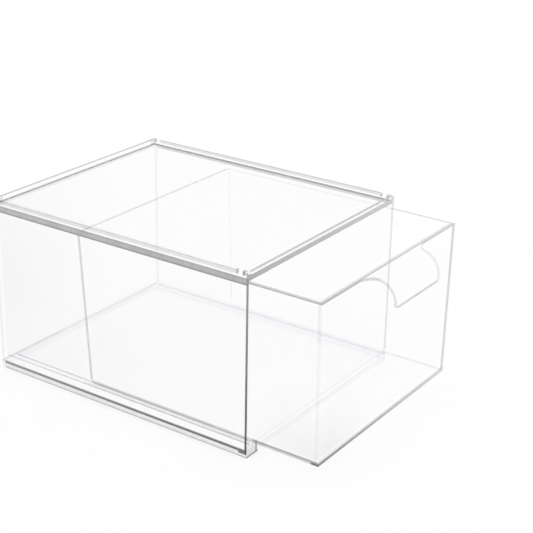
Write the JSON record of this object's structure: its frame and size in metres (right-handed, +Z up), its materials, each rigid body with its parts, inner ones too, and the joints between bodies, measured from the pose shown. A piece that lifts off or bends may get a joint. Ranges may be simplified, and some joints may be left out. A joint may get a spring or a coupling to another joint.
{
  "type": "stackable drawer box",
  "caption": "Clear stackable box with a pull-out drawer on its raised floor, stacking rims on its top and a curved finger pull on the drawer.",
  "frame": {"origin": "on the ground, at the middle of the footprint of the whole box with its drawer pulled out as drawn", "axes": "+Z up, -Y out of the open front, where the drawer pulls out, +X to the right seen from the front"},
  "size_m": [0.19, 0.3106, 0.14],
  "materials": {
    "case_clear": "clear, polished",
    "rail_clear": "clear, polished",
    "drawer_clear": "clear, polished"
  },
  "bodies": {
    "case": {"case_left_side": "case_clear", "case_right_side": "case_clear", "case_back": "case_clear", "case_top": "case_clear", "case_floor": "case_clear", "front_top_rail": "rail_clear", "front_sill": "rail_clear", "left_foot_rail": "rail_clear", "right_foot_rail": "rail_clear"},
    "drawer": {"drawer_front": "drawer_clear", "drawer_left_side": "drawer_clear", "drawer_right_side": "drawer_clear", "drawer_back": "drawer_clear", "drawer_floor": "drawer_clear", "drawer_pull": "drawer_clear"}
  },
  "joints": [
    {"name": "drawer_slide", "type": "slide", "parent": "case", "child": "drawer", "axis": [0, -1, 0], "range_m": [-0.0546, 0.1]}
  ]
}
